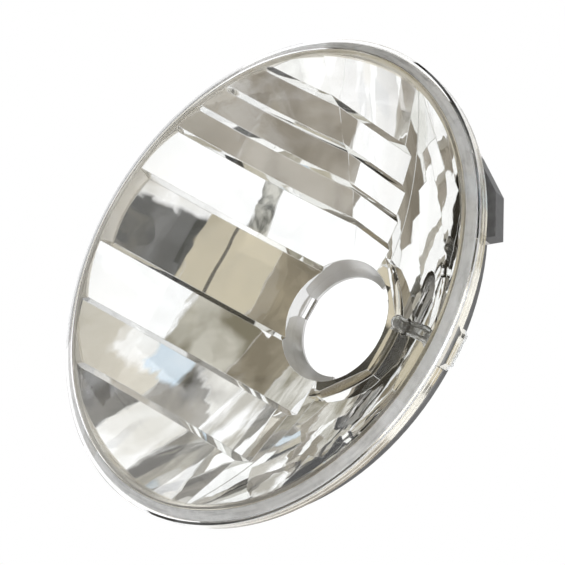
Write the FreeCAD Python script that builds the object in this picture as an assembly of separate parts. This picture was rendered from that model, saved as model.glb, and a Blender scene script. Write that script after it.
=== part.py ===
import FreeCAD, Part
import math
import os
from FreeCAD import Vector

# Motorcycle headlight insert: clear lens bonded over a moulded mirror bowl.
# The lamp faces -Y, +Z is up and the optical axis is Y.
# Y = 0 is the plane that the main bulb's flange seats on.
# Sizes named "depth" are measured backwards from the front edge of the rim.

# Rim and lens
rim_radius = 85.0
seat_depth = 53.2
skirt_length = 4.8
skirt_wall = 1.6
lens_wall = 2.2
shoulder_inset = 0.2
shoulder_rise = 2.2
shoulder_taper = 0.8
dome_rise = 8.0
lens_edge_round = 0.7

# Locating tab moulded on the lens skirt
tab_width = 13.0
tab_height = 2.6
tab_depth_front = 1.2
tab_corner = 1.5
tab_angle = 3.5

# Mirror bowl
land_width = 1.6
land_depth = 0.4
neck_step = 3.8
neck_length = 6.1
bottom_setback = 4.3
back_wall_rim = 8.5
back_wall_neck = 6.0
lower_wall_overlap = 3.0
strip_flatness = 0.7
step_width = 1.6
centre_setback = 4.5

# Upright lines between the mirror strips, from left to right seen from the front
strip_lines = (-56.0, -35.5, -14.0, 14.3, 33.5, 43.5, 53.5, 65.0)

# Turned wedge of strips on the right, and the step down to the plain bottom sector
wedge_top_angle = 15.5
wedge_turn = 10.0
riser_angle = 16.5

# Bonding flange
channel_width = 3.0
channel_depth = 3.0
flange_rear_depth = 6.4
fit_gap = 0.2
bead_gap = 0.15

# Ramped retaining lug on the flange
lug_height = 3.0
lug_depth_rear = 9.6
lug_start_angle = 27.5
lug_full_angle = 37.0
lug_end_angle = 49.0

# Neck, seat ring and screws
neck_wall = 2.4
seat_plate = 1.2
seat_bore_radius = 18.6
key_width = 8.0
key_reach = 3.0
side_key_width = 5.5
side_key_reach = 2.4
side_key_angles = (210.0, 330.0)
collar_land = 3.6
collar_reach = 5.0
collar_sides = 8
screw_offset = 3.7
screw_angles = (62.0, 118.0, 250.0)
lobe_radius = 4.2
screw_radius = 1.5
screw_clearance = 0.15
head_radius = 2.7
head_height = 1.8
head_round = 0.7
drive_width = 0.9
drive_reach = 1.6
drive_depth = 1.0
screw_boss_wall = 2.6
screw_boss_floor = 1.2

# Wire clip that holds the main bulb
wire_radius = 0.7
clip_plane = 1.7
clip_leg_gap = 2.2
clip_leg_end = 13.0
hinge_gap = 2.7
hinge_half_span = 8.2
hinge_end_inset = 2.4
hinge_shoulder_gap = 3.2
clip_bend_radius = 2.2
catch_stand_off = 4.2
catch_half_width = 4.5
catch_side_gap = 1.0
pin_clearance = 0.2
ear_plate = 1.2
ear_half_height = 2.2
catch_gap = 0.5
catch_lip = 0.3

# Position bulb and its push-in holder
position_angle = -73.8
position_gap = 0.5
position_glass_radius = 2.5
position_glass_wall = 0.45
position_reach = 7.0
position_hole_gap = 0.6
holder_plug_radius = 3.7
holder_plug_length = 4.0
holder_flange_lip = 0.2
holder_flange = 1.6
holder_barrel_radius = 3.4
holder_barrel_length = 7.0
glass_seat = 5.0
boss_wall = 1.3
boss_inset = 0.2
filament_radius = 0.18
support_radius = 0.3
filament_half_length = 1.1
filament_setback = 2.6
contact_width = 1.8
contact_thickness = 0.4
contact_offset = 1.6
contact_length = 5.0
contact_bury = 3.0

Y_AXIS = Vector(0, 1, 0)
ORIGIN = Vector(0, 0, 0)
REACH = 2.0 * rim_radius
OVERCUT = 1.0
SECTOR_STEP = 60.0
TOUCH = 0.01

# Radii that follow from the rim and from the bulb seat
skirt_radius = rim_radius - skirt_wall
flange_radius = skirt_radius - fit_gap
channel_radius = flange_radius - channel_width
shoulder_radius = channel_radius - shoulder_inset
aperture_radius = channel_radius - land_width
neck_bore_radius = seat_bore_radius + neck_step
neck_radius = neck_bore_radius + neck_wall
screw_circle = neck_radius + screw_offset
clip_leg_offset = seat_bore_radius + clip_leg_gap
hinge_offset = neck_radius + hinge_gap
hinge_shoulder = hinge_half_span + ear_plate + hinge_shoulder_gap
catch_offset = neck_radius + catch_stand_off
holder_flange_radius = holder_plug_radius + boss_wall + holder_flange_lip
position_radius = neck_radius + holder_flange_radius + position_gap
position_x = position_radius * math.cos(math.radians(position_angle))
position_z = position_radius * math.sin(math.radians(position_angle))

# Depths that follow from the bulb seat
plate_front_depth = seat_depth - seat_plate
neck_front_depth = plate_front_depth - neck_length
boss_rear_depth = seat_depth - boss_inset
bowl_four_f = (aperture_radius ** 2 - neck_bore_radius ** 2) / (neck_front_depth - land_depth)
bowl_vertex_depth = neck_front_depth + neck_bore_radius ** 2 / bowl_four_f


def y_at(depth):
    """Model Y of a depth behind the rim's front edge."""
    return depth - seat_depth


def bowl_depth(radius):
    """Depth of the smooth paraboloid that the mirror strips follow."""
    return bowl_vertex_depth - radius ** 2 / bowl_four_f


position_tip_depth = bowl_depth(position_radius) + bottom_setback - position_reach
screw_floor_depth = bowl_depth(screw_circle) + bottom_setback + screw_boss_floor


def cylinder(radius, depth_front, depth_rear, x=0.0, z=0.0):
    """Round bar along the optical axis."""
    base = Vector(x, y_at(depth_front), z)
    return Part.makeCylinder(radius, depth_rear - depth_front, base, Y_AXIS)


def block(x0, x1, depth_front, depth_rear, z0, z1):
    """Box between two corners, with depths along the axis."""
    corner = Vector(x0, y_at(depth_front), z0)
    return Part.makeBox(x1 - x0, depth_rear - depth_front, z1 - z0, corner)


def profile_edges(points):
    """Straight edges through (radius, depth) points."""
    ends = [Vector(radius, y_at(depth), 0) for radius, depth in points]
    return [Part.makeLine(a, b) for a, b in zip(ends, ends[1:])]


def parabola_edge(radius_in, depth_in, radius_out, depth_out):
    """Edge of a paraboloid's section, exact as a quadratic curve."""
    bend = (depth_in - depth_out) / (radius_out ** 2 - radius_in ** 2)
    slope = -2.0 * bend * radius_in
    half = (radius_out - radius_in) / 2.0
    curve = Part.BezierCurve()
    curve.setPoles([
        Vector(radius_in, y_at(depth_in), 0),
        Vector(radius_in + half, y_at(depth_in + slope * half), 0),
        Vector(radius_out, y_at(depth_out), 0),
    ])
    return curve.toShape()


def spin(edges):
    """Solid of revolution about the optical axis."""
    wire = Part.Wire(Part.__sortEdges__(edges))
    return Part.Face(wire).revolve(ORIGIN, Y_AXIS, 360)


def turned(shape, angle):
    """Copy of a shape turned about the optical axis, from right towards up."""
    copy = shape.copy()
    copy.rotate(ORIGIN, Y_AXIS, -angle)
    return copy


def sector(start_angle, end_angle):
    """Wedge-shaped block about the axis between two angles from the right, through the whole depth."""
    steps = max(2, math.ceil(abs(end_angle - start_angle) / SECTOR_STEP) + 1)
    points = [Vector(0, -REACH, 0)]
    for index in range(steps):
        angle = math.radians(start_angle + (end_angle - start_angle) * index / (steps - 1))
        points.append(Vector(2 * REACH * math.cos(angle), -REACH, 2 * REACH * math.sin(angle)))
    points.append(points[0])
    return Part.Face(Part.makePolygon(points)).extrude(Vector(0, 2 * REACH, 0))


def dome_edge(radius, edge_depth, rise):
    """Arc of the lens crown from its centre to its edge."""
    ball = (radius ** 2 + rise ** 2) / (2.0 * rise)
    middle_radius = radius / 2.0
    middle_depth = edge_depth - rise + ball - math.sqrt(ball ** 2 - middle_radius ** 2)
    centre = Vector(0, y_at(edge_depth - rise), 0)
    middle = Vector(middle_radius, y_at(middle_depth), 0)
    edge = Vector(radius, y_at(edge_depth), 0)
    return Part.Arc(centre, middle, edge).toShape()


def inner_shoulder_depth(radius):
    """Depth of the lens shoulder's inner cone."""
    share = (radius - shoulder_radius) / (skirt_radius - shoulder_radius)
    start = lens_wall - shoulder_rise
    return start + share * (lens_wall * shoulder_taper - start)


def make_lens():
    """Clear cover: shallow crown, sloped shoulder and skirt, with one locating tab."""
    outer = dome_edge(shoulder_radius, -shoulder_rise, dome_rise)
    inner = dome_edge(shoulder_radius, lens_wall - shoulder_rise, dome_rise)
    rim = profile_edges([
        (shoulder_radius, -shoulder_rise),
        (rim_radius - lens_edge_round, 0.0),
        (rim_radius, lens_edge_round),
        (rim_radius, skirt_length),
        (skirt_radius, skirt_length),
        (skirt_radius, inner_shoulder_depth(skirt_radius)),
        (shoulder_radius, lens_wall - shoulder_rise),
    ])
    axis = profile_edges([(0.0, lens_wall - shoulder_rise - dome_rise), (0.0, -shoulder_rise - dome_rise)])
    shell = spin([outer, inner] + rim + axis)
    tab = block(-tab_width / 2, tab_width / 2, tab_depth_front, skirt_length, -rim_radius - tab_height,
                -skirt_radius)
    tab = tab.makeChamfer(tab_corner, [e for e in tab.Edges if is_tab_corner(e)])
    tab = tab.cut(cylinder(skirt_radius + skirt_wall / 2, -REACH, REACH))
    return shell.fuse(turned(tab, tab_angle)).removeSplitter()


def is_tab_corner(edge):
    """True on the two outer corners of the tab that run along the axis."""
    middle = edge.CenterOfMass
    along_axis = abs(edge.tangentAt(edge.FirstParameter).y) > 0.9
    return along_axis and middle.z < -rim_radius - tab_height / 2


def strip_curve(x, mid, setback):
    """Section of a strip at one x: an upright parabola, drawn as an exact quadratic curve."""
    slope = -2.0 * mid / bowl_four_f * strip_flatness
    middle_depth = bowl_depth(mid) + slope * (x - mid)
    low = -aperture_radius
    high = aperture_radius
    bend = 1.0 / bowl_four_f - setback / aperture_radius ** 2

    def depth(z):
        return middle_depth - bend * z * z

    tip = depth(low) - 2.0 * bend * low * (high - low) / 2.0
    curve = Part.BezierCurve()
    curve.setPoles([
        Vector(x, y_at(depth(low)), low),
        Vector(x, y_at(tip), (low + high) / 2.0),
        Vector(x, y_at(depth(high)), high),
    ])
    return curve.toShape()


def strip_space(lines):
    """Air in front of a row of mirror strips, with a sloped step at each line."""
    ends = [-aperture_radius - step_width] + list(lines) + [aperture_radius + step_width]
    curves = []
    for left, right in zip(ends, ends[1:]):
        mid = (left + right) / 2.0
        setback = centre_setback if left < 0.0 < right else 0.0
        curves.append(strip_curve(left + step_width / 2, mid, setback))
        curves.append(strip_curve(right - step_width / 2, mid, setback))
    faces = [Part.makeRuledSurface(a, b) for a, b in zip(curves, curves[1:])]
    front = y_at(-REACH)
    for curve in (curves[0], curves[-1]):
        faces.append(side_face(curve, front))
    for end in (0, -1):
        points = [curve.Vertexes[end].Point for curve in curves]
        corner_b = Vector(points[-1].x, front, points[-1].z)
        corner_a = Vector(points[0].x, front, points[0].z)
        faces.append(Part.Face(Part.makePolygon(points + [corner_b, corner_a, points[0]])))
    x0 = curves[0].Vertexes[0].Point.x
    x1 = curves[-1].Vertexes[0].Point.x
    z = aperture_radius
    cap = [Vector(x0, front, -z), Vector(x1, front, -z), Vector(x1, front, z), Vector(x0, front, z)]
    faces.append(Part.Face(Part.makePolygon(cap + [cap[0]])))
    skin = Part.makeCompound(faces)
    skin.sewShape()
    return Part.makeSolid(skin.Shells[0])


def side_face(curve, front):
    """Flat side of the strip air, from an end curve to the front plane."""
    a = curve.Vertexes[0].Point
    b = curve.Vertexes[-1].Point
    a_front = Vector(a.x, front, a.z)
    b_front = Vector(b.x, front, b.z)
    edges = [curve, Part.makeLine(b, b_front), Part.makeLine(b_front, a_front), Part.makeLine(a_front, a)]
    return Part.Face(Part.Wire(edges))


def bowl_space(setback):
    """Air in front of the smooth paraboloid, set back by a depth."""
    centre_depth = bowl_depth(0.0) + setback
    edge_depth = bowl_depth(aperture_radius) + setback
    front = -REACH
    edges = [parabola_edge(0.0, centre_depth, aperture_radius, edge_depth)]
    edges += profile_edges([(aperture_radius, edge_depth), (aperture_radius, front), (0.0, front),
                            (0.0, centre_depth)])
    return spin(edges)


def mirror_space():
    """All the air inside the bowl: upright strips, turned wedge and plain bottom sector."""
    upper = strip_space(strip_lines).common(sector(wedge_top_angle, 180.0 + riser_angle))
    turn = math.radians(wedge_turn)
    share = math.cos(turn) - math.tan(math.radians(wedge_top_angle)) * math.sin(turn)
    wedge = strip_space([line * share for line in strip_lines])
    wedge = turned(wedge, -wedge_turn).common(sector(-riser_angle, wedge_top_angle))
    bottom = bowl_space(bottom_setback).common(sector(180.0 + riser_angle, 360.0 - riser_angle))
    air = upper.multiFuse([wedge, bottom])
    return air.common(cylinder(aperture_radius, -REACH, REACH))


def bowl_body(wall_rim, wall_neck):
    """Outer bulk of the bowl with its flange, before the mirror space is cut."""
    rim_depth = bowl_depth(aperture_radius) + wall_rim
    neck_depth = min(bowl_depth(neck_radius) + wall_neck, plate_front_depth)
    edges = [parabola_edge(neck_radius, neck_depth, channel_radius, rim_depth)]
    edges += profile_edges([
        (channel_radius, rim_depth),
        (channel_radius, flange_rear_depth),
        (flange_radius, flange_rear_depth),
        (flange_radius, channel_depth),
        (channel_radius, channel_depth),
        (channel_radius, land_depth),
        (0.0, land_depth),
        (0.0, neck_depth),
        (neck_radius, neck_depth),
    ])
    return spin(edges)


def collar():
    """Faceted collar that stands round the bulb opening in the bottom sector."""
    top = neck_bore_radius + collar_land
    foot = top + collar_reach
    foot_depth = plate_front_depth
    loops = []
    for radius, depth in ((top, neck_front_depth), (foot, foot_depth)):
        corners = []
        for index in range(collar_sides + 1):
            angle = 2.0 * math.pi * (index + 0.5) / collar_sides
            corners.append(Vector(radius * math.cos(angle), y_at(depth), radius * math.sin(angle)))
        loops.append(Part.makePolygon(corners))
    return Part.makeLoft(loops, True, True)


def lug():
    """Ramp on the flange that a retaining spring rides over."""
    inner = channel_radius
    full = rim_radius + lug_height
    points = []
    for angle, radius in ((lug_start_angle, inner), (lug_start_angle, full), (lug_full_angle, full),
                          (lug_end_angle, skirt_radius), (lug_end_angle, inner)):
        turn = math.radians(angle - 90.0)
        points.append(Vector(radius * math.cos(turn), y_at(skirt_length + fit_gap), radius * math.sin(turn)))
    face = Part.Face(Part.makePolygon(points + [points[0]]))
    return face.extrude(Vector(0, lug_depth_rear - skirt_length - fit_gap, 0))


def screw_place(angle):
    """Centre of a seat screw as (x, z)."""
    turn = math.radians(angle)
    return screw_circle * math.cos(turn), screw_circle * math.sin(turn)


def make_reflector():
    """Moulded bowl: strips, wedge, plain sector, collar, neck, bosses, flange and lug in one piece."""
    lower_edge = riser_angle - lower_wall_overlap
    lower = bowl_body(back_wall_rim + bottom_setback, back_wall_neck + bottom_setback)
    lower = lower.common(sector(180.0 + lower_edge, 360.0 - lower_edge))
    solid = bowl_body(back_wall_rim, back_wall_neck).fuse(lower)
    boss_radius = holder_plug_radius + boss_wall
    adds = [cylinder(neck_radius, neck_front_depth, plate_front_depth)]
    adds.append(cylinder(boss_radius, bowl_depth(position_radius), boss_rear_depth, position_x, position_z))
    for angle in screw_angles:
        x, z = screw_place(angle)
        post_radius = screw_radius + screw_boss_wall
        adds.append(cylinder(post_radius, bowl_depth(screw_circle), plate_front_depth, x, z))
    solid = solid.multiFuse(adds)
    solid = solid.cut(mirror_space())
    bottom = sector(180.0 + riser_angle, 360.0 - riser_angle)
    solid = solid.multiFuse([collar().common(bottom), lug()])
    neck_end = plate_front_depth + OVERCUT
    cuts = [cylinder(neck_bore_radius, -REACH, neck_end)]
    cuts.append(cylinder(position_glass_radius + position_hole_gap, position_tip_depth, boss_rear_depth,
                         position_x, position_z))
    cuts.append(cylinder(holder_plug_radius + fit_gap, boss_rear_depth - holder_plug_length - fit_gap,
                         boss_rear_depth + OVERCUT, position_x, position_z))
    for angle in screw_angles:
        x, z = screw_place(angle)
        cuts.append(cylinder(screw_radius + screw_clearance, screw_floor_depth, neck_end, x, z))
    return solid.cut(Part.makeCompound(cuts)).removeSplitter()


def make_sealant():
    """Bead of sealant in the flange's channel, under the lens shoulder."""
    inner = channel_radius + bead_gap
    outer = flange_radius - bead_gap
    points = [(inner, channel_depth), (outer, channel_depth)]
    points += [(r, inner_shoulder_depth(r) + bead_gap) for r in (outer, inner)]
    return spin(profile_edges(points + [points[0]]))


def key_slot(angle, width, reach):
    """Cutter for one key slot of the bulb seat."""
    slot = block(0.0, seat_bore_radius + reach, plate_front_depth - OVERCUT, seat_depth + OVERCUT,
                 -width / 2, width / 2)
    return turned(slot, angle)


def upright(x0, x1, z0, z1, height):
    """Folded-up tab behind the seat plate."""
    return block(x0, x1, plate_front_depth, seat_depth + height, z0, z1)


def make_seat_ring():
    """Pressed steel bulb seat: keyed bore, screw lobes, hinge ears and a catch."""
    adds = []
    for angle in screw_angles:
        x, z = screw_place(angle)
        adds.append(cylinder(lobe_radius, plate_front_depth, seat_depth, x, z))
        link = block(0.0, screw_circle, plate_front_depth, seat_depth, -lobe_radius, lobe_radius)
        adds.append(turned(link, angle))
    ear_top = clip_plane + ear_half_height
    ear_left = -hinge_offset - ear_half_height
    for side in (-1, 1):
        low, high = sorted((side * hinge_half_span, side * (hinge_half_span + ear_plate)))
        adds.append(upright(ear_left, -hinge_offset + ear_half_height, low, high, ear_top))
    ear_span = hinge_half_span + ear_plate
    adds.append(upright(ear_left, -seat_bore_radius, -ear_span, ear_span, 0.0))
    post = catch_offset + wire_radius + catch_gap
    half = catch_half_width - catch_side_gap
    adds.append(upright(seat_bore_radius, post + ear_plate, -half, half, 0.0))
    adds.append(upright(post, post + ear_plate, -half, half, ear_top))
    lip_front = seat_depth + clip_plane + wire_radius
    adds.append(block(post - catch_lip, post, lip_front, seat_depth + ear_top, -half, half))
    ring = cylinder(neck_radius, plate_front_depth, seat_depth).multiFuse(adds)
    cuts = [cylinder(seat_bore_radius, 0.0, REACH)]
    cuts.append(key_slot(90.0, key_width, key_reach))
    for angle in side_key_angles:
        cuts.append(key_slot(angle, side_key_width, side_key_reach))
    for angle in screw_angles:
        x, z = screw_place(angle)
        cuts.append(cylinder(screw_radius + screw_clearance, 0.0, REACH, x, z))
    pin_start = Vector(-hinge_offset, clip_plane, -2 * hinge_half_span)
    pin_length = 4 * hinge_half_span
    cuts.append(Part.makeCylinder(wire_radius + pin_clearance, pin_length, pin_start, Vector(0, 0, 1)))
    return ring.cut(Part.makeCompound(cuts)).removeSplitter()


def make_screw(angle):
    """One pan-head screw with a cross recess, threads left plain."""
    x, z = screw_place(angle)
    shank = cylinder(screw_radius, screw_floor_depth + screw_clearance, seat_depth, x, z)
    head = cylinder(head_radius, seat_depth, seat_depth + head_height, x, z)
    rear_edges = [e for e in head.Edges if e.CenterOfMass.y > head_height - TOUCH]
    screw = shank.fuse(head.makeFillet(head_round, rear_edges))
    head_rear = seat_depth + head_height
    slot_floor = head_rear - drive_depth
    for half_x, half_z in ((drive_reach, drive_width / 2), (drive_width / 2, drive_reach)):
        slot = block(x - half_x, x + half_x, slot_floor, head_rear + OVERCUT, z - half_z, z + half_z)
        screw = screw.cut(slot)
    return screw.removeSplitter()


def make_screws():
    """The seat ring's screws, one solid each."""
    return Part.makeCompound([make_screw(angle) for angle in screw_angles])


def rounded_path(points, radius):
    """Straight runs joined by tangent arcs of one radius."""
    edges = []
    start = points[0]
    for before, corner, after in zip(points, points[1:], points[2:]):
        into = (corner - before).normalize()
        out = (after - corner).normalize()
        half_turn = into.getAngle(out) / 2.0
        trim = radius * math.tan(half_turn)
        first = corner - into * trim
        last = corner + out * trim
        inward = (out - into).normalize()
        middle = corner + inward * (radius / math.cos(half_turn) - radius)
        edges.append(Part.makeLine(start, first))
        edges.append(Part.Arc(first, middle, last).toShape())
        start = last
    edges.append(Part.makeLine(start, points[-1]))
    return Part.Wire(edges)


def make_clip():
    """Spring-wire bail: two pivot ends, two legs beside the bulb and a closed grip end."""
    half = [
        (-hinge_offset, hinge_half_span - hinge_end_inset),
        (-hinge_offset, hinge_shoulder),
        (-clip_leg_end, clip_leg_offset),
        (clip_leg_end, clip_leg_offset),
        (catch_offset, catch_half_width),
    ]
    route = half + [(x, -z) for x, z in reversed(half)]
    points = [Vector(x, clip_plane, z) for x, z in route]
    path = rounded_path(points, clip_bend_radius)
    section = Part.Wire(Part.makeCircle(wire_radius, points[0], Vector(0, 0, 1)))
    return path.makePipeShell([section], True, True)


def make_position_glass():
    """Small clear bulb envelope: round tip, hollow body and solid pinch."""
    pinch = boss_rear_depth - holder_plug_length
    outer = rounded_rod(position_glass_radius, position_tip_depth, pinch + glass_seat)
    inner_radius = position_glass_radius - position_glass_wall
    return outer.cut(rounded_rod(inner_radius, position_tip_depth + position_glass_wall, pinch))


def rounded_rod(radius, tip_depth, rear_depth):
    """Rod beside the bulb opening with a hemispherical front end."""
    rod = cylinder(radius, tip_depth + radius, rear_depth, position_x, position_z)
    ball = Part.makeSphere(radius, Vector(position_x, y_at(tip_depth + radius), position_z))
    return rod.fuse(ball).removeSplitter()


def make_position_filament():
    """Filament bar on its two support wires, standing on the glass pinch."""
    depth = position_tip_depth + filament_setback
    foot = boss_rear_depth - holder_plug_length
    left = position_x - filament_half_length
    bar = Part.makeCylinder(filament_radius, 2 * filament_half_length, Vector(left, y_at(depth), position_z),
                            Vector(1, 0, 0))
    posts = []
    for side in (-1, 1):
        x = position_x + side * filament_half_length
        posts.append(cylinder(support_radius, depth - support_radius, foot, x, position_z))
    return bar.multiFuse(posts).removeSplitter()


def make_position_holder():
    """Push-in holder: plug, flange and barrel with a bore for the bulb's pinch."""
    plug_front = boss_rear_depth - holder_plug_length
    flange_rear = boss_rear_depth + holder_flange
    barrel_rear = flange_rear + holder_barrel_length
    plug = cylinder(holder_plug_radius, plug_front, boss_rear_depth, position_x, position_z)
    flange = cylinder(holder_flange_radius, boss_rear_depth, flange_rear, position_x, position_z)
    barrel = cylinder(holder_barrel_radius, flange_rear, barrel_rear, position_x, position_z)
    body = plug.multiFuse([flange, barrel])
    bore = cylinder(position_glass_radius + fit_gap, plug_front - OVERCUT, plug_front + glass_seat,
                    position_x, position_z)
    slots = [contact_block(side, fit_gap) for side in (-1, 1)]
    return body.cut(Part.makeCompound([bore] + slots)).removeSplitter()


def contact_block(side, gap):
    """Flat terminal blade of the holder, or its slot when a gap is given."""
    rear = boss_rear_depth + holder_flange + holder_barrel_length
    x = position_x + side * contact_offset
    half = contact_thickness / 2.0 + gap
    tall = contact_width / 2.0 + gap
    front = rear - contact_bury
    return block(x - half, x + half, front, rear + contact_length, position_z - tall, position_z + tall)


def make_contacts():
    """Two terminal blades, one solid each."""
    return Part.makeCompound([contact_block(side, 0.0) for side in (-1, 1)])


MAKERS = {
    "lens": make_lens,
    "reflector": make_reflector,
    "sealant_bead": make_sealant,
    "bulb_seat_ring": make_seat_ring,
    "seat_screws": make_screws,
    "bulb_clip": make_clip,
    "position_bulb_glass": make_position_glass,
    "position_bulb_filament": make_position_filament,
    "position_bulb_holder": make_position_holder,
    "position_contacts": make_contacts,
}

os.makedirs("parts", exist_ok=True)
for name, make in MAKERS.items():
    shape = make()
    shape.exportStep("parts/" + name + ".step")
    print(name, len(shape.Solids), "solids", round(shape.Volume, 1), "mm3", "valid", shape.isValid())
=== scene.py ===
import math

import bpy
from mathutils import Matrix, Vector

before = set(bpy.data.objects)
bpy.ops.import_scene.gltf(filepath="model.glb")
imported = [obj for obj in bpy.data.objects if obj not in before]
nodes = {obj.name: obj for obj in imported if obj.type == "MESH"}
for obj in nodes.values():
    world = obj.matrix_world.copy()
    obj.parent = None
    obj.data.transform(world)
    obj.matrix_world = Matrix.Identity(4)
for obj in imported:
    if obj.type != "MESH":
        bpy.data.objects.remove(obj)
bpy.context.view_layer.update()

# Bowl section from the part's source, in metres: Y of the vertex and four times the focal length
BOWL_VERTEX_Y = -0.00328
BOWL_FOUR_F = 0.12475

# Limits of the mirror coat, in metres: radii about the optical axis, and depths behind the bowl's curve.
# Walls of the steps that face inwards are coated to a greater depth, and are dull at their ends.
BOWL_RADIUS = 0.0803
NECK_RADIUS = 0.0226
FLANGE_RADIUS = 0.0833
FLANGE_BACK_Y = -0.0466
COAT_DEPTH = 0.0052
STEP_RADIUS = 0.05
STEP_DEPTH = 0.014
DULL_DEPTH = 0.006

# Dull coat at the rim, in metres. Its haze grows with height, and adds roughness and takes away metal.
RIM_START = 0.0779
RIM_FADE = 0.0003
HAZE_LOW = 0.25
HAZE_HIGH = 0.6
HAZE_LOW_Z = -0.01
HAZE_HIGH_Z = 0.03
HAZE_ROUGHNESS = 0.4
HAZE_MATT = 0.7

# Painted light on the outside of the flange, where it lies in shade behind the lens, in metres: full in
# front, gone further back
PAINTED_LIGHT_RADIUS = 0.0836
PAINTED_LIGHT_FULL_Y = -0.0455
PAINTED_LIGHT_END_Y = -0.0415

# Lens, in metres: radius of its crown, and how far out from the middle the true curve gives the normal
CROWN_RADIUS = 0.403
CROWN_MIDDLE = 0.0085

# Edges rounded in the shading, in metres, and how far the normals agree where wear is full and where it ends.
# Worn metal is brighter and smoother.
EDGE_ROUND = 0.0003
WEAR_FULL = 0.86
WEAR_END = 0.99
WORN_GAIN = 1.25
WORN_SMOOTHER = 0.12

# Sealant streaks, whose pale lines are painted highlights: how often they change across the bead, for each
# metre, and along it, for each radian
STREAK_ACROSS = 900.0
STREAK_ALONG = 7.0

# Where most of a noise texture's values lie
NOISE_LOW = 0.3
NOISE_HIGH = 0.7

# Camera that matches the photograph: distance and offsets in metres, angles in degrees, lens in millimetres
CAMERA_DISTANCE = 0.5
CAMERA_TILT = 45.62
CAMERA_SPIN = 4.0
CAMERA_ROLL = -58.15
CAMERA_SHIFT_RIGHT = -0.00956
CAMERA_SHIFT_UP = 0.00417
CAMERA_LENS = 97.9
RIM_FRONT_Y = -0.0532

# Studio wall, in metres: round, about the lamp. Each card on it hangs a hair in front of the one before, and
# one that covers another hangs a layer in front. A card's facets turn by WALL_STEP degrees, and WALL_SQUEEZE
# draws out its mottling upwards.
WALL_RADIUS = 0.78
WALL_LAYER = 0.01
WALL_GAP = 0.0004
WALL_STEP = 3.0
WALL_SQUEEZE = 0.3

# Soft edge of a wall card, in radians and metres, and how far its edge wanders, in metres
SOFT_TURN = 0.004
SOFT_HEIGHT = 0.008
RAGGED = 0.05
NEAT = 0.018

# Flat cards and floor, in metres
NEAR_CARD_Y = -0.15
HALF_WAY_Y = -0.4
OVERHEAD_Z = 0.55
BEHIND_Y = 0.6
BELOW_Z = -0.97
FLOOR_Z = -1.0
FLOOR_HALF = 9.0

# Brightness of the cards, and of the world where it is seen and where it lights; lamps in watts and metres
MIRROR_GAIN = 1.3
BELOW_GAIN = 2.4
SEEN_LEVEL = 1.0
LIGHT_LEVEL = 0.88
LAMP_POWER = 5.0
LAMP_SIZE = 0.8

# Display tones that several cards share
PURE_WHITE = (255, 255, 255)
WHITE = (250, 250, 250)
PALE = (214, 212, 206)
BEIGE = (200, 190, 168)
STONE = (164, 158, 148)
ASH = (150, 147, 139)
SOOT = (58, 56, 50)
COAL = (30, 30, 28)
BLACK = (14, 14, 14)


def to_linear(rgb):
    """Linear colour of an 8-bit display colour."""
    out = []
    for value in rgb:
        share = value / 255.0
        out.append(share / 12.92 if share <= 0.04045 else ((share + 0.055) / 1.055) ** 2.4)
    return (out[0], out[1], out[2], 1.0)


def grey(value, warm=0.0):
    """Linear grey, a little warm where asked."""
    return (value, value * (1.0 - 0.5 * warm), value * (1.0 - warm), 1.0)


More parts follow.
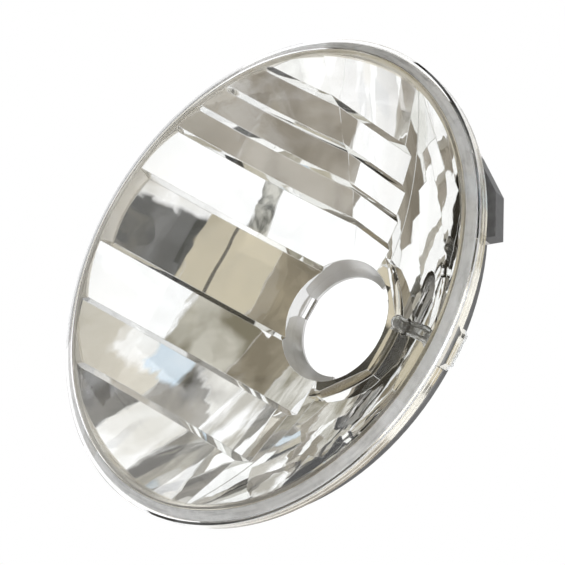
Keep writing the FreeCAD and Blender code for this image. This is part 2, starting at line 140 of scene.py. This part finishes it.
class Shader:
    """Small helper that builds one procedural material."""

    def __init__(self, name):
        self.material = bpy.data.materials.new(name)
        self.material.use_nodes = True
        self.tree = self.material.node_tree
        self.tree.nodes.clear()
        self.output = self.add("ShaderNodeOutputMaterial")
        self.coords = self.add("ShaderNodeTexCoord").outputs["Object"]

    def add(self, kind, **settings):
        node = self.tree.nodes.new(kind)
        for key, value in settings.items():
            setattr(node, key, value)
        return node

    def set(self, socket, value):
        """Links a socket to another, or sets its constant."""
        if isinstance(value, bpy.types.NodeSocket):
            self.tree.links.new(value, socket)
        else:
            socket.default_value = value

    def principled(self, **inputs):
        """Main shader; an underscore in a keyword stands for a space in the socket's name."""
        node = self.add("ShaderNodeBsdfPrincipled")
        for key, value in inputs.items():
            self.set(node.inputs[key.replace("_", " ")], value)
        self.tree.links.new(node.outputs["BSDF"], self.output.inputs["Surface"])

    def split(self, vector):
        """X, Y and Z of a vector."""
        node = self.add("ShaderNodeSeparateXYZ")
        self.tree.links.new(vector, node.inputs[0])
        return node.outputs

    def join(self, x, y, z):
        """Vector from X, Y and Z."""
        node = self.add("ShaderNodeCombineXYZ")
        for socket, value in zip(node.inputs, (x, y, z)):
            self.set(socket, value)
        return node.outputs["Vector"]

    def stretched(self, scale):
        """Object coordinates with a scale for each axis."""
        node = self.add("ShaderNodeMapping")
        self.tree.links.new(self.coords, node.inputs["Vector"])
        node.inputs["Scale"].default_value = scale
        return node.outputs["Vector"]

    def noise(self, scale, detail=3.0, distortion=0.0, coords=None):
        node = self.add("ShaderNodeTexNoise")
        self.tree.links.new(coords or self.coords, node.inputs["Vector"])
        node.inputs["Scale"].default_value = scale
        node.inputs["Detail"].default_value = detail
        node.inputs["Distortion"].default_value = distortion
        return node.outputs["Fac"]

    def cells(self, scale):
        node = self.add("ShaderNodeTexVoronoi")
        self.tree.links.new(self.coords, node.inputs["Vector"])
        node.inputs["Scale"].default_value = scale
        return node.outputs["Distance"]

    def ramp(self, factor, *stops):
        """Colour ramp through (place, colour) stops."""
        node = self.add("ShaderNodeValToRGB")
        self.tree.links.new(factor, node.inputs["Fac"])
        elements = node.color_ramp.elements
        while len(elements) < len(stops):
            elements.new(1.0)
        for element, (place, colour) in zip(elements, stops):
            element.position = place
            element.color = colour
        return node.outputs["Color"]

    def tones(self, noise, dark, light):
        """Colour that a noise moves between two tones."""
        return self.ramp(noise, (NOISE_LOW, dark), (NOISE_HIGH, light))

    def spread(self, factor, low, high, start=NOISE_LOW, end=NOISE_HIGH):
        """Value that runs from low to high as the factor runs from start to end."""
        node = self.add("ShaderNodeMapRange")
        self.tree.links.new(factor, node.inputs["Value"])
        node.inputs["From Min"].default_value = start
        node.inputs["From Max"].default_value = end
        node.inputs["To Min"].default_value = low
        node.inputs["To Max"].default_value = high
        return node.outputs["Result"]

    def math(self, operation, a, b=0.0):
        node = self.add("ShaderNodeMath", operation=operation)
        self.set(node.inputs[0], a)
        self.set(node.inputs[1], b)
        return node.outputs["Value"]

    def dot(self, ax, az, bx, bz):
        """Dot product of the X and Z parts of two vectors."""
        return self.math("ADD", self.math("MULTIPLY", ax, bx), self.math("MULTIPLY", az, bz))

    def blend(self, factor, a, b):
        """Colour between a and b."""
        node = self.add("ShaderNodeMix", data_type="RGBA")
        colours = [socket for socket in node.inputs if socket.type == "RGBA"]
        self.set(node.inputs[0], factor)
        self.set(colours[0], a)
        self.set(colours[1], b)
        return [socket for socket in node.outputs if socket.type == "RGBA"][0]

    def rounded(self):
        """Normal that rounds the edges by a small radius."""
        node = self.add("ShaderNodeBevel", samples=6)
        node.inputs["Radius"].default_value = EDGE_ROUND
        return node.outputs["Normal"]

    def edges(self, rounded):
        """One along sharp edges, where the rounded normal leaves the plain one."""
        node = self.add("ShaderNodeVectorMath", operation="DOT_PRODUCT")
        self.tree.links.new(rounded, node.inputs[0])
        self.tree.links.new(self.add("ShaderNodeNewGeometry").outputs["Normal"], node.inputs[1])
        return self.spread(node.outputs["Value"], 1.0, 0.0, WEAR_FULL, WEAR_END)

    def wear(self, rounded, noise, low, high):
        """Wear along the edges, in patches."""
        return self.math("MULTIPLY", self.edges(rounded), self.spread(noise, low, high))

    def bump(self, height, strength, distance, normal=None):
        node = self.add("ShaderNodeBump")
        self.tree.links.new(height, node.inputs["Height"])
        if normal is not None:
            self.tree.links.new(normal, node.inputs["Normal"])
        node.inputs["Strength"].default_value = strength
        node.inputs["Distance"].default_value = distance
        return node.outputs["Normal"]


def crown_normal(s):
    """Normal of the lens, with the true curve where its two halves meet in the middle."""
    geometry = s.add("ShaderNodeNewGeometry")
    x, _, z = s.split(s.coords)
    side = s.math("SIGN", s.split(geometry.outputs["True Normal"])["Y"])
    slope = s.math("DIVIDE", side, -CROWN_RADIUS)
    curve = s.join(s.math("MULTIPLY", slope, x), side, s.math("MULTIPLY", slope, z))
    radius = s.math("SQRT", s.dot(x, z, x, z))
    mix = s.add("ShaderNodeMix", data_type="VECTOR")
    sockets = {socket.identifier: socket for socket in mix.inputs}
    s.set(sockets["Factor_Float"], s.math("LESS_THAN", radius, CROWN_MIDDLE))
    s.set(sockets["A_Vector"], geometry.outputs["Normal"])
    s.set(sockets["B_Vector"], curve)
    return [socket for socket in mix.outputs if socket.type == "VECTOR"][0]


def make_lens():
    """Clear moulded cover with faint flow marks."""
    s = Shader("clear_plastic")
    marks = s.noise(55.0, 2.0, coords=s.stretched((1.0, 0.4, 1.0)))
    s.principled(
        Base_Color=s.tones(s.noise(28.0), (0.97, 0.98, 0.985, 1.0), (1.0, 1.0, 1.0, 1.0)),
        Roughness=s.spread(s.noise(180.0), 0.0, 0.012),
        Normal=s.bump(marks, 0.003, 0.0004, crown_normal(s)),
        Transmission_Weight=1.0,
        IOR=1.49,
    )
    return s.material


def bowl_masks(s):
    """Masks for the mirror coat, for its dull parts and for the painted light on the outside of the flange.
    """
    x, y, z = s.split(s.coords)
    radius_squared = s.dot(x, z, x, z)
    radius = s.math("SQRT", radius_squared)
    bowl_y = s.math("SUBTRACT", BOWL_VERTEX_Y, s.math("DIVIDE", radius_squared, BOWL_FOUR_F))
    behind = s.math("SUBTRACT", y, bowl_y)
    normal_x, _, normal_z = s.split(s.add("ShaderNodeNewGeometry").outputs["True Normal"])

    faces_in = s.math("LESS_THAN", s.dot(normal_x, normal_z, x, z), 0.0)
    on_step = s.math("MULTIPLY", faces_in, s.math("LESS_THAN", behind, STEP_DEPTH))
    on_step = s.math("MULTIPLY", on_step, s.math("GREATER_THAN", radius, STEP_RADIUS))
    in_front = s.math("MAXIMUM", s.math("LESS_THAN", behind, COAT_DEPTH), on_step)
    in_bowl = s.math("MULTIPLY", in_front, s.math("LESS_THAN", radius, BOWL_RADIUS))
    in_neck = s.math("LESS_THAN", radius, NECK_RADIUS)
    on_flange = s.math("MULTIPLY", s.math("LESS_THAN", y, FLANGE_BACK_Y),
                       s.math("LESS_THAN", radius, FLANGE_RADIUS))
    coated = s.math("MAXIMUM", s.math("MAXIMUM", in_bowl, in_neck), on_flange)

    at_rim = s.spread(radius, 0.0, 1.0, RIM_START, RIM_START + RIM_FADE)
    end_wall = s.math("MULTIPLY", on_step, s.spread(behind, 0.0, 1.0, COAT_DEPTH, DULL_DEPTH))
    dulled = s.math("MAXIMUM", at_rim, end_wall)

    # Painted light: the outside of the flange just behind its front, which lies in shade behind the lens, is
    # painted pale.
    painted_light_band = s.math("MULTIPLY", s.spread(y, 1.0, 0.0, PAINTED_LIGHT_FULL_Y, PAINTED_LIGHT_END_Y),
                   s.math("LESS_THAN", radius, PAINTED_LIGHT_RADIUS))
    return coated, dulled, painted_light_band


def make_reflector():
    """Metallised mirror inside, dark moulding outside, with painted light on the outside of the flange."""
    s = Shader("mirror_coat")
    coated, dulled, painted_light_band = bowl_masks(s)
    rounded = s.rounded()

    bright = s.tones(s.noise(40.0), (0.93, 0.93, 0.92, 1.0), (0.96, 0.96, 0.955, 1.0))
    dull = s.tones(s.noise(160.0), (0.86, 0.81, 0.70, 1.0), (0.96, 0.92, 0.83, 1.0))
    coat = s.blend(dulled, bright, dull)
    grain = s.noise(420.0, 4.0)
    moulding = s.tones(grain, grey(0.085), grey(0.125))
    # Painted light: pale grey in place of the dark moulding where the flange would lie in shade.
    moulding = s.blend(painted_light_band, moulding, s.tones(grain, grey(0.74, 0.04), grey(0.90, 0.04)))
    moulding = s.blend(s.wear(rounded, grain, 0.2, 0.7), moulding, grey(0.22))

    haze = s.spread(s.split(s.coords)["Z"], HAZE_LOW, HAZE_HIGH, HAZE_LOW_Z, HAZE_HIGH_Z)
    haze = s.math("MULTIPLY", dulled, haze)
    rough_coat = s.math("ADD", s.spread(s.noise(90.0), 0.008, 0.025),
                        s.math("MULTIPLY", haze, HAZE_ROUGHNESS))
    rough_moulding = s.math("MULTIPLY", s.math("SUBTRACT", 1.0, coated), s.spread(grain, 0.38, 0.52))
    shine = s.math("SUBTRACT", 1.0, s.math("MULTIPLY", haze, HAZE_MATT))
    height = s.blend(coated, grain, s.noise(45.0, 1.0))
    s.principled(
        Base_Color=s.blend(coated, moulding, coat),
        Metallic=s.math("MULTIPLY", coated, shine),
        Roughness=s.math("ADD", rough_moulding, s.math("MULTIPLY", coated, rough_coat)),
        Normal=s.bump(height, 0.002, 0.0005, rounded),
    )
    return s.material


def make_sealant():
    """Grey cured sealant, drawn out along the rim into streaks whose pale lines are painted highlights,
    mottled and full of small bubbles, with painted shade that darkens it on its left and right sides.
    """
    s = Shader("sealant")
    x, y, z = s.split(s.coords)
    radius = s.math("SQRT", s.dot(x, z, x, z))
    along = s.join(s.math("MULTIPLY", radius, STREAK_ACROSS),
                   s.math("MULTIPLY", y, STREAK_ACROSS),
                   s.math("MULTIPLY", s.math("ARCTAN2", z, x), STREAK_ALONG))
    streaks = s.noise(1.0, 2.0, coords=along)
    # Painted highlight: the pale lines of the streaks stand in for glints along the bead.
    streaks_and_painted_highlights = s.ramp(streaks, (0.34, grey(0.46)), (0.5, grey(0.84)), (0.66, grey(0.98)))
    mottle = s.noise(380.0, 5.0, 0.6)
    # Painted shade: a darker copy of the sealant on its left and right sides and a paler lit copy at its top
    # and bottom, blended by height; the streaks weigh more where it is darker.
    painted_shade_tone = s.ramp(mottle, (0.3, grey(0.56)), (0.5, grey(0.76)), (0.72, grey(0.92)))
    painted_lit_tone = s.ramp(mottle, (0.3, grey(0.74)), (0.5, grey(0.90)), (0.72, grey(0.97)))
    painted_light_share = s.spread(s.math("ABSOLUTE", z), 0.0, 1.0, 0.02, 0.06)
    base = s.blend(s.spread(painted_light_share, 0.6, 0.35, 0.0, 1.0), s.blend(painted_light_share, painted_shade_tone, painted_lit_tone), streaks_and_painted_highlights)
    spots = s.ramp(s.cells(620.0), (0.12, grey(0.85)), (0.3, grey(0.0)))
    s.principled(
        Base_Color=s.blend(spots, base, grey(0.88)),
        Roughness=s.spread(mottle, 0.35, 0.6),
        Normal=s.bump(mottle, 0.4, 0.0006),
    )
    return s.material


def make_metal(name, dark, light, roughness, grain_scale, stretch=(1.0, 1.0, 1.0)):
    """Plated or drawn metal with fine grain, dull patches and edges worn bright."""
    s = Shader(name)
    patches = s.noise(95.0, 4.0)
    grain = s.noise(grain_scale, 3.0, coords=s.stretched(stretch))
    rounded = s.rounded()
    worn = s.wear(rounded, patches, 0.3, 1.0)
    bright = tuple(min(1.0, WORN_GAIN * value) for value in light)
    rough = s.math("ADD", s.spread(patches, *roughness), s.spread(grain, -0.04, 0.04))
    s.principled(
        Base_Color=s.blend(worn, s.tones(patches, dark, light), bright),
        Metallic=1.0,
        Roughness=s.math("SUBTRACT", rough, s.math("MULTIPLY", worn, WORN_SMOOTHER)),
        Normal=s.bump(grain, 0.03, 0.0002, rounded),
    )
    return s.material


def make_bulb_glass():
    """Thin clear glass with faint ripples."""
    s = Shader("bulb_glass")
    s.principled(
        Base_Color=s.tones(s.noise(300.0), (0.96, 0.98, 0.98, 1.0), (1.0, 1.0, 1.0, 1.0)),
        Roughness=s.spread(s.noise(500.0), 0.03, 0.08),
        Normal=s.bump(s.noise(350.0, 1.0), 0.05, 0.0003),
        Transmission_Weight=0.85,
        IOR=1.3,
    )
    return s.material


def make_holder():
    """Black moulded plastic with a fine grain and edges rubbed pale."""
    s = Shader("holder_plastic")
    grain = s.noise(900.0, 4.0)
    rounded = s.rounded()
    worn = s.wear(rounded, grain, 0.2, 0.8)
    s.principled(
        Base_Color=s.blend(worn, s.tones(grain, grey(0.012), grey(0.028)), grey(0.09)),
        Roughness=s.spread(grain, 0.35, 0.5),
        Normal=s.bump(grain, 0.2, 0.0003, rounded),
    )
    return s.material


def dress():
    """Gives each CAD node its material."""
    drawn = (1.0, 1.0, 9.0)
    brass = ((0.50, 0.33, 0.11, 1.0), (0.66, 0.47, 0.19, 1.0))
    looks = {
        "lens": make_lens(),
        "reflector": make_reflector(),
        "sealant_bead": make_sealant(),
        "bulb_seat_ring": make_metal(
            "plated_steel", grey(0.74, 0.02), grey(0.88, 0.02), (0.36, 0.48), 900.0),
        "seat_screws": make_metal(
            "screw_steel", grey(0.45, 0.06), grey(0.60, 0.04), (0.22, 0.36), 1200.0),
        "bulb_clip": make_metal(
            "spring_wire", grey(0.40, 0.02), grey(0.55, 0.02), (0.2, 0.34), 1500.0, drawn),
        "position_bulb_glass": make_bulb_glass(),
        "position_bulb_filament": make_metal(
            "filament_wire", grey(0.28), grey(0.42), (0.3, 0.45), 4000.0),
        "position_bulb_holder": make_holder(),
        "position_contacts": make_metal("contact_brass", *brass, (0.22, 0.38), 1500.0, drawn),
    }
    for name, material in looks.items():
        mesh = nodes[name].data
        mesh.materials.clear()
        mesh.materials.append(material)


def mesh_object(name, points, faces):
    """Object from points and faces, put in the scene."""
    mesh = bpy.data.meshes.new(name)
    mesh.from_pydata(points, [], faces)
    obj = bpy.data.objects.new(name, mesh)
    bpy.context.scene.collection.objects.link(obj)
    return obj


def upright_sheet(name, left, right, low, high, y):
    """Upright rectangle that faces along Y."""
    points = [(left, y, low), (right, y, low), (right, y, high), (left, y, high)]
    return mesh_object(name, points, [(0, 1, 2, 3)])


def level_sheet(name, half_width, front, back, z):
    """Level rectangle, as wide to the left as to the right."""
    points = [(-half_width, front, z), (half_width, front, z), (half_width, back, z), (-half_width, back, z)]
    return mesh_object(name, points, [(0, 1, 2, 3)])


def card_tone(s, dark, light, scale, squeeze, gain):
    """Glow mottled between two display colours."""
    mottle = s.noise(scale, 3.0, 0.8, s.stretched((1.0, 1.0, squeeze)))
    node = s.add("ShaderNodeEmission")
    s.set(node.inputs["Color"], s.ramp(mottle, (0.38, to_linear(dark)), (0.62, to_linear(light))))
    s.set(node.inputs["Strength"], gain)
    return node.outputs["Emission"]


def inside(s, place, low, high, soft):
    """One between two limits, fading out over a soft edge."""
    rise = s.spread(place, 0.0, 1.0, low - soft, low + soft)
    return s.math("MULTIPLY", rise, s.spread(place, 1.0, 0.0, high - soft, high + soft))


def ragged_mask(s, limits, ragged):
    """One inside a wall card's limits, with edges that wander, more in height than sideways."""
    left, right, low, high = limits
    x, y, z = s.split(s.coords)
    wander = s.math("SUBTRACT", s.noise(26.0, 4.5, 0.3), 0.5)
    turn = s.math("ARCTAN2", x, s.math("MULTIPLY", y, -1.0))
    turn = s.math("ADD", turn, s.math("MULTIPLY", wander, 0.5 * ragged / WALL_RADIUS))
    height = s.math("ADD", z, s.math("MULTIPLY", wander, 2.0 * ragged))
    across = inside(s, turn, math.radians(left), math.radians(right), SOFT_TURN)
    return s.math("MULTIPLY", across, inside(s, height, low, high, SOFT_HEIGHT))


def card_material(name, dark, light, scale, squeeze=1.0, limits=None, ragged=0.0, gain=MIRROR_GAIN):
    """Soft glowing card, ragged at its edges where limits are given."""
    s = Shader(name)
    glow = card_tone(s, dark, light, scale, squeeze, gain)
    if limits:
        mix = s.add("ShaderNodeMixShader")
        s.set(mix.inputs[0], ragged_mask(s, limits, ragged))
        s.set(mix.inputs[1], s.add("ShaderNodeBsdfTransparent").outputs["BSDF"])
        s.set(mix.inputs[2], glow)
        glow = mix.outputs["Shader"]
    s.set(s.output.inputs["Surface"], glow)
    return s.material


def hide_card(obj, material):
    """Marks a card as studio gear that shows only in mirrors and glass."""
    obj.data.materials.append(material)
    obj.visible_camera = False
    obj.visible_diffuse = False
    obj.visible_shadow = False


wall_cards = []


def wall_card(name, left, right, low, high, dark, light, scale=9.0, layer=0, ragged=RAGGED):
    """Card on the round studio wall between two azimuths in degrees and two heights in metres."""
    wall_cards.append(name)
    reach = WALL_RADIUS - WALL_LAYER * layer - WALL_GAP * len(wall_cards)
    margin_turn = math.degrees(ragged / WALL_RADIUS)
    first = left - margin_turn
    last = right + margin_turn
    steps = max(2, math.ceil((last - first) / WALL_STEP))
    points = []
    for index in range(steps + 1):
        turn = math.radians(first + (last - first) * index / steps)
        for z in (low - ragged, high + ragged):
            points.append((reach * math.sin(turn), -reach * math.cos(turn), z))
    faces = [(2 * i, 2 * i + 1, 2 * i + 3, 2 * i + 2) for i in range(steps)]
    material = card_material(name, dark, light, scale, WALL_SQUEEZE, (left, right, low, high), ragged)
    card = mesh_object(name, points, faces)
    hide_card(card, material)
    return card


def make_left_wall():
    """Wall cards on the lamp's left, from the side to the window."""
    wall_card("card_left", -47.0, -26.5, -0.8, 0.5, (124, 117, 106), (158, 151, 140))
    wall_card("card_left_low", -80.0, -47.0, -0.8, 0.02, WHITE, PURE_WHITE)
    wall_card("card_left_pale", -64.0, -47.0, 0.02, 0.40, (236, 236, 233), PURE_WHITE, scale=11.0)
    wall_card("card_left_top", -80.0, -26.5, 0.40, 2.2, WHITE, PURE_WHITE)
    wall_card("card_left_stripe", -78.0, -58.0, 1.15, 1.55, STONE, PALE, layer=1)
    wall_card("card_window", -26.5, -9.0, -0.8, 1.3, WHITE, PURE_WHITE)
    wall_card("card_window_patch", -22.5, -15.5, -0.25, -0.16, (96, 96, 90), (190, 188, 180), scale=60.0,
              layer=1)


def make_middle_wall():
    """Wall cards straight in front of the lamp."""
    wall_card("card_panel", -9.0, 4.6, -0.8, -0.40, (66, 66, 62), (78, 77, 73), scale=5.0, ragged=NEAT)
    wall_card("card_panel_edge", 4.6, 12.0, -0.8, -0.40, WHITE, PALE, scale=24.0, ragged=NEAT)
    wall_card("card_middle", -9.0, 12.0, -0.40, -0.06, (192, 182, 158), (178, 170, 150))
    wall_card("card_bar", -9.0, 5.0, -0.288, -0.273, (40, 36, 30), (56, 52, 44), scale=5.0, layer=1,
              ragged=0.0)
    wall_card("card_middle_top", -9.0, 12.0, -0.06, 0.32, (148, 138, 118), (124, 116, 100))
    wall_card("card_flag", -12.0, 15.0, 0.36, 1.05, COAL, (70, 68, 62), scale=6.0, layer=1)
    wall_card("card_flag_side", -17.5, -12.0, 0.68, 1.05, (50, 50, 46), (118, 114, 104), layer=1)
    wall_card("card_flag_light", 5.0, 9.5, 0.56, 0.76, BEIGE, (190, 182, 160), layer=2)
    ceiling = wall_card("card_ceiling", -30.0, 35.0, 1.05, 2.7, (24, 24, 23), (48, 47, 44), scale=6.0,
                        layer=1)
    ceiling.visible_transmission = False


def make_right_wall():
    """Wall cards on the lamp's right, from the middle to the side."""
    wall_card("card_right", 12.0, 33.0, -0.8, -0.28, WHITE, PURE_WHITE)
    wall_card("card_right_mid", 12.0, 33.0, -0.28, 0.08, (122, 116, 98), (190, 186, 174), scale=14.0)
    wall_card("card_right_brown", 12.0, 33.0, 0.08, 0.47, (118, 110, 94), (150, 142, 125), scale=14.0)
    wall_card("card_right_top", 15.0, 33.0, 0.47, 1.05, (150, 146, 132), PALE, scale=14.0)
    wall_card("card_far", 33.0, 48.5, -0.8, -0.02, (170, 163, 146), (190, 184, 168))
    wall_card("card_far_pale", 38.0, 43.0, -0.25, -0.08, PALE, (240, 240, 238), scale=16.0, layer=1)
    wall_card("card_far_grey", 33.0, 40.5, -0.02, 0.38, (84, 82, 76), (140, 135, 126), scale=14.0)
    wall_card("card_far_band", 40.5, 48.5, -0.02, 0.10, (104, 102, 95), STONE, scale=14.0)
    wall_card("card_far_light", 40.5, 48.5, 0.10, 0.38, ASH, PALE, scale=14.0)
    wall_card("card_far_blue", 38.4, 42.4, -0.13, 0.04, (186, 204, 218), (208, 218, 226), scale=16.0, layer=2)
    wall_card("card_far_top", 33.0, 48.5, 0.38, 1.5, (170, 166, 156), WHITE, scale=14.0)
    wall_card("card_end", 48.5, 62.0, -0.5, 0.16, (20, 20, 19), (52, 51, 48))
    wall_card("card_end_pale", 48.5, 59.0, 0.16, 0.54, PALE, WHITE, scale=11.0)
    wall_card("card_end_side", 59.0, 80.0, 0.10, 0.54, (112, 108, 100), STONE, scale=11.0)
    wall_card("card_end_grey", 48.5, 80.0, 0.54, 1.02, (90, 87, 80), ASH, scale=11.0)
    wall_card("card_end_top", 48.5, 80.0, 1.02, 2.0, WHITE, PURE_WHITE)


def make_room():
    """Wall cards that give the mirror something plain to show, with a dark one on either side."""
    make_left_wall()
    make_middle_wall()
    make_right_wall()
    wall_card("card_side_left", -124.0, -81.0, -0.95, 0.7, COAL, (60, 59, 56), scale=4.0)
    wall_card("card_side_right", 86.0, 124.0, -0.95, 0.7, COAL, (60, 59, 56), scale=4.0)


def make_overhead():
    """Dark card above and behind, seen only by way of the mirror through the bulb opening."""
    card = level_sheet("card_overhead", 0.3, 0.02, 0.4, OVERHEAD_Z)
    hide_card(card, card_material("card_overhead", BLACK, (26, 26, 26), scale=4.0))
    card.visible_transmission = False


def make_near_card(name, left, right, low, high, dark, light, y=NEAR_CARD_Y):
    """Small upright card close in front, which few parts of the bowl reflect."""
    card = upright_sheet(name, left, right, low, high, y)
    hide_card(card, card_material(name, dark, light, scale=30.0))
    card.visible_glossy = False


def make_near_cards():
    """Dark and white cards close in front, and one half way to the wall."""
    make_near_card("card_near", -0.002, 0.022, -0.118, -0.056, BLACK, SOOT)
    make_near_card("card_near_top", -0.010, 0.034, 0.112, 0.165, BLACK, SOOT)
    make_near_card("card_near_side", -0.136, -0.092, 0.010, 0.030, BLACK, SOOT)
    make_near_card("card_near_white", 0.152, 0.33, -0.034, 0.0, WHITE, PURE_WHITE)
    make_near_card("card_near_low", 0.18, 0.33, -0.066, -0.034, WHITE, PURE_WHITE)
    make_near_card("card_near_high", 0.0, 0.04, 0.168, 0.25, WHITE, PURE_WHITE)
    make_near_card("card_half_way", 0.185, 0.245, 0.04, 0.095, WHITE, PURE_WHITE, HALF_WAY_Y)
    make_near_card("card_near_beige", -0.015, 0.035, -0.18, -0.118, BEIGE, (188, 178, 156))


def make_glow_cards():
    """White card behind, seen only through glass, and a bright one below for the near edge."""
    behind = upright_sheet("card_behind", -0.8, 0.8, -0.4, 1.6, BEHIND_Y)
    hide_card(behind, card_material("card_behind", WHITE, WHITE, scale=4.0))
    behind.visible_glossy = False
    below = level_sheet("card_below", 0.6, -0.6, 0.6, BELOW_Z)
    hide_card(below, card_material("card_below", WHITE, PURE_WHITE, scale=4.0, gain=BELOW_GAIN))


def make_floor():
    """Plain pale floor, well below the lamp."""
    floor = level_sheet("floor", FLOOR_HALF, -FLOOR_HALF, FLOOR_HALF, FLOOR_Z)
    s = Shader("floor_paint")
    s.principled(Base_Color=s.tones(s.noise(3.0), grey(0.93), grey(0.95)), Roughness=0.9)
    floor.data.materials.append(s.material)


def make_world():
    """White studio: white where it is seen, a plain level where it lights."""
    world = bpy.data.worlds.new("studio")
    world.use_nodes = True
    tree = world.node_tree
    background = tree.nodes["Background"]
    path = tree.nodes.new("ShaderNodeLightPath")
    seen = path.outputs["Is Camera Ray"]
    for name in ("Is Glossy Ray", "Is Transmission Ray"):
        node = tree.nodes.new("ShaderNodeMath")
        node.operation = "MAXIMUM"
        tree.links.new(seen, node.inputs[0])
        tree.links.new(path.outputs[name], node.inputs[1])
        seen = node.outputs["Value"]
    level = tree.nodes.new("ShaderNodeMapRange")
    tree.links.new(seen, level.inputs["Value"])
    level.inputs["To Min"].default_value = LIGHT_LEVEL
    level.inputs["To Max"].default_value = SEEN_LEVEL
    tree.links.new(level.outputs["Result"], background.inputs["Strength"])
    background.inputs["Color"].default_value = (1.0, 1.0, 1.0, 1.0)
    bpy.context.scene.world = world


def make_light(name, place):
    """Soft square lamp aimed at the part."""
    data = bpy.data.lights.new(name, "AREA")
    data.size = LAMP_SIZE
    data.energy = LAMP_POWER
    obj = bpy.data.objects.new(name, data)
    bpy.context.scene.collection.objects.link(obj)
    obj.location = place
    obj.rotation_mode = "QUATERNION"
    obj.rotation_quaternion = (-Vector(place)).to_track_quat("-Z", "Y")
    obj.visible_glossy = False
    obj.visible_transmission = False


def make_camera():
    """Camera in front of and below the lamp, rolled as in the photograph."""
    tilt = math.radians(CAMERA_TILT)
    spin = math.radians(CAMERA_SPIN)
    roll = math.radians(CAMERA_ROLL)
    near = Vector((-math.sin(spin), 0.0, -math.cos(spin)))
    back = Vector((0.0, -1.0, 0.0)) * math.cos(tilt) + near * math.sin(tilt)
    up = (-near + near.dot(back) * back).normalized()
    right = up.cross(back)
    rolled_right = math.cos(roll) * right + math.sin(roll) * up
    rolled_up = -math.sin(roll) * right + math.cos(roll) * up
    place = back * CAMERA_DISTANCE - rolled_right * CAMERA_SHIFT_RIGHT - rolled_up * CAMERA_SHIFT_UP
    pose = Matrix((rolled_right, rolled_up, back)).transposed().to_4x4()
    pose.translation = place + Vector((0.0, RIM_FRONT_Y, 0.0))
    data = bpy.data.cameras.new("camera")
    data.lens = CAMERA_LENS
    data.sensor_width = 36.0
    data.clip_start = 0.01
    camera = bpy.data.objects.new("camera", data)
    bpy.context.scene.collection.objects.link(camera)
    camera.matrix_world = pose
    bpy.context.scene.camera = camera


dress()
make_room()
make_overhead()
make_near_cards()
make_glow_cards()
make_floor()
make_world()
make_light("key_light", (-0.9, -0.5, 1.1))
make_light("back_light", (0.8, 1.3, 0.7))
make_camera()
bpy.context.scene.view_settings.view_transform = "Standard"
